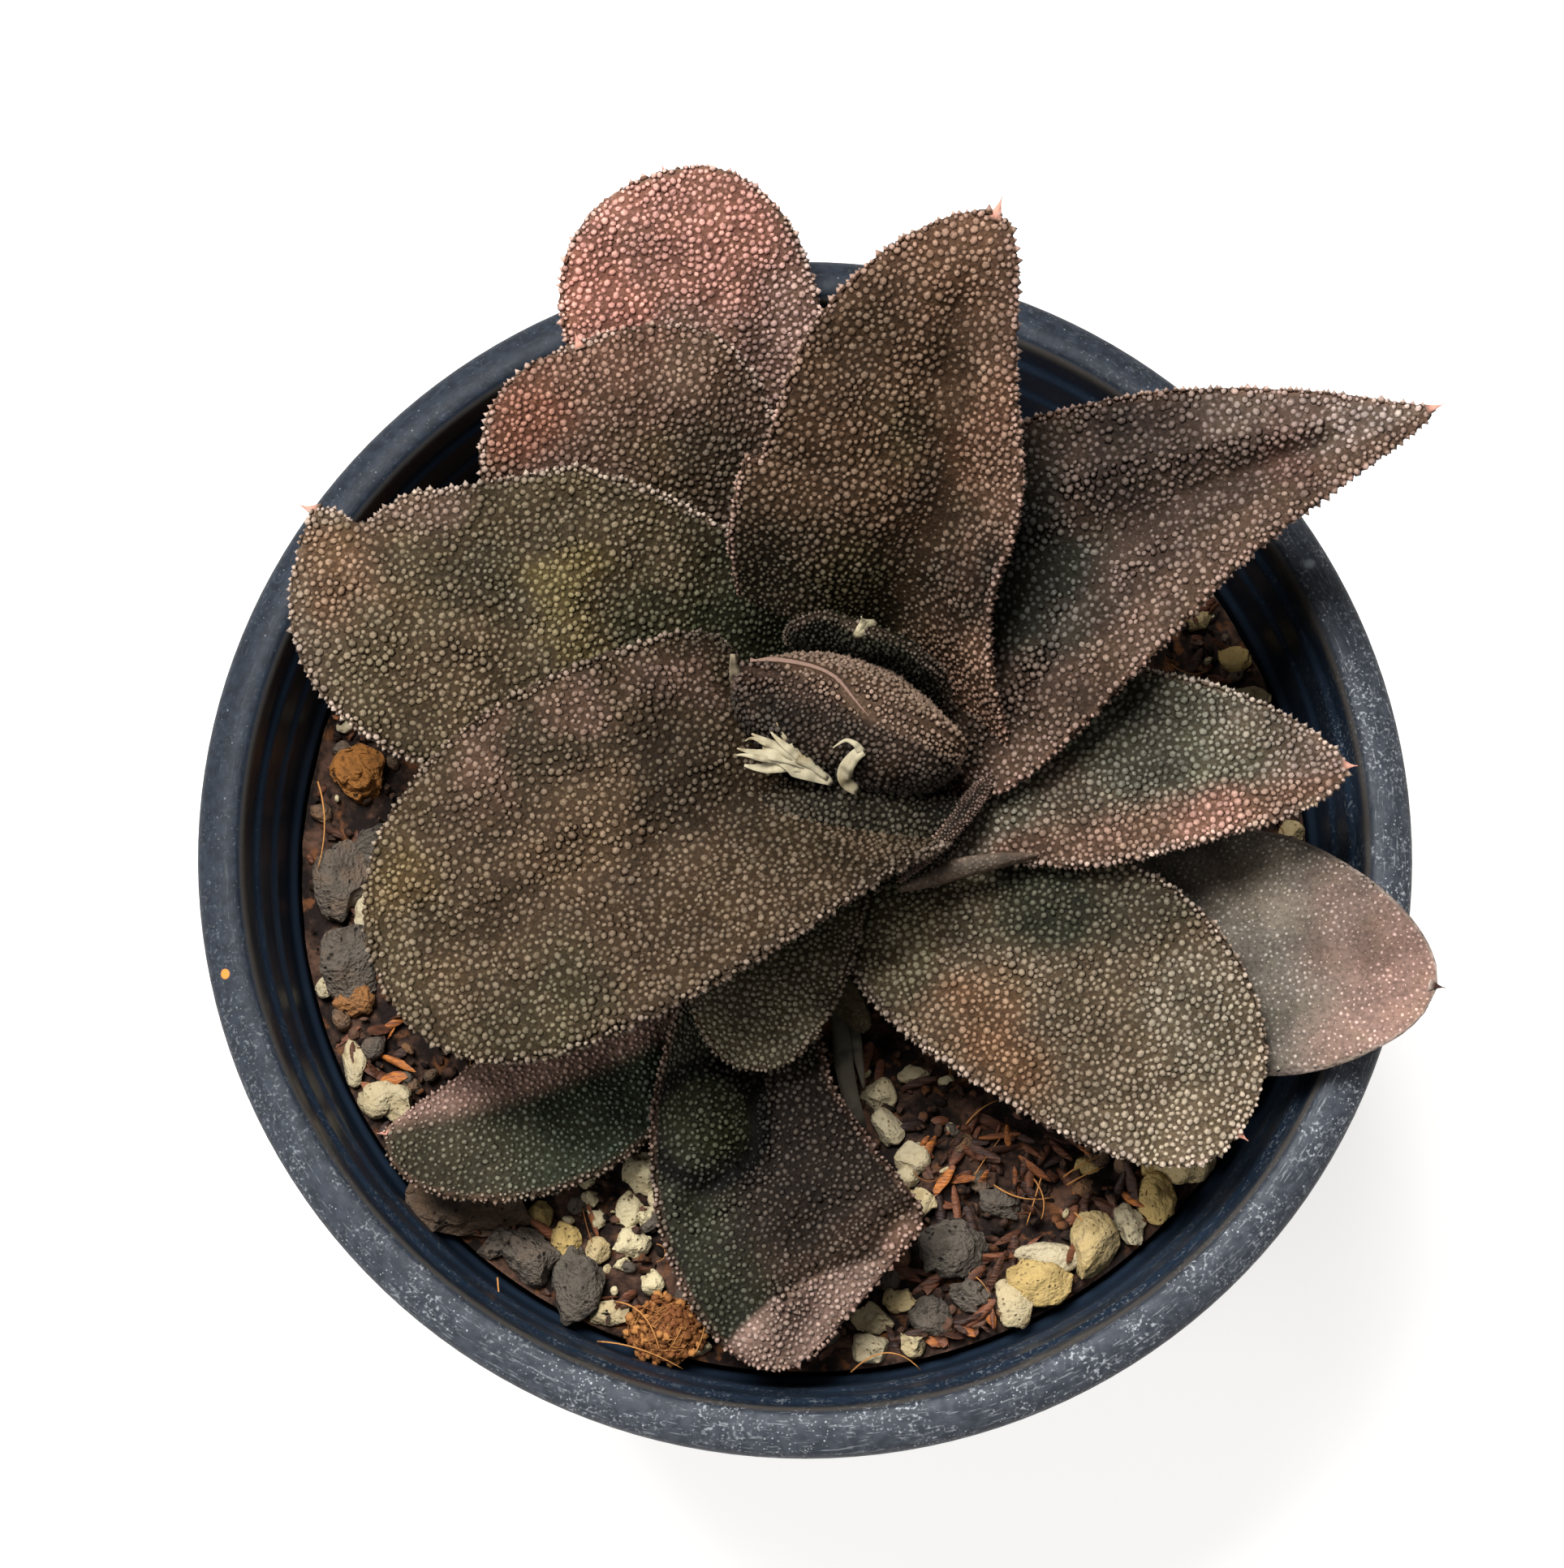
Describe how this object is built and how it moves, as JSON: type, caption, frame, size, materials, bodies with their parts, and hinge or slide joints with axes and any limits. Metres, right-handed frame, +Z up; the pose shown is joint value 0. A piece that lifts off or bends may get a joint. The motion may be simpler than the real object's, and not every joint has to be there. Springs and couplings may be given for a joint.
{
  "type": "potted gasteria",
  "caption": "Small succulent with thick warty tongue leaves in a spiral rosette, growing from gritty mix in a round black nursery pot with a rolled rim.",
  "frame": {"origin": "centre of the pot's flat foot, on the surface it stands on", "axes": "+Z up along the pot's own axis; the tallest leaf leans towards +Y, the lowest leaves are at -Y"},
  "size_m": [0.1057, 0.1107, 0.1122],
  "materials": {
    "pot": "satin moulded plastic",
    "potting_mix": "rough gravel and bark",
    "stem": "matt plant skin",
    "leaf_back": "waxy leaf skin covered in small pale warts",
    "leaf_back_left": "waxy leaf skin covered in small pale warts",
    "leaf_left": "waxy leaf skin covered in small pale warts",
    "leaf_front_left": "waxy leaf skin covered in small pale warts",
    "leaf_upright": "waxy leaf skin covered in small pale warts",
    "leaf_right_back": "waxy leaf skin covered in small pale warts",
    "leaf_right": "waxy leaf skin covered in small pale warts",
    "leaf_front_right": "waxy leaf skin covered in small pale warts",
    "leaf_far_right": "waxy leaf skin covered in small pale warts",
    "leaf_front": "waxy leaf skin covered in small pale warts",
    "leaf_front_small": "waxy leaf skin covered in small pale warts",
    "leaf_low_left": "waxy leaf skin covered in small pale warts",
    "leaf_stub": "waxy leaf skin covered in small pale warts",
    "young_leaf_back": "waxy leaf skin covered in small pale warts",
    "young_leaf_centre": "waxy leaf skin covered in small pale warts",
    "dried_flower_long": "dry and papery",
    "dried_flower_short": "dry and papery"
  },
  "bodies": {
    "root": {"pot": "pot", "potting_mix": "potting_mix", "stem": "stem", "leaf_back": "leaf_back", "leaf_back_left": "leaf_back_left", "leaf_left": "leaf_left", "leaf_front_left": "leaf_front_left", "leaf_upright": "leaf_upright", "leaf_right_back": "leaf_right_back", "leaf_right": "leaf_right", "leaf_front_right": "leaf_front_right", "leaf_far_right": "leaf_far_right", "leaf_front": "leaf_front", "leaf_front_small": "leaf_front_small", "leaf_low_left": "leaf_low_left", "leaf_stub": "leaf_stub", "young_leaf_back": "young_leaf_back", "young_leaf_centre": "young_leaf_centre", "dried_flower_long": "dried_flower_long", "dried_flower_short": "dried_flower_short"}
  },
  "joints": []
}
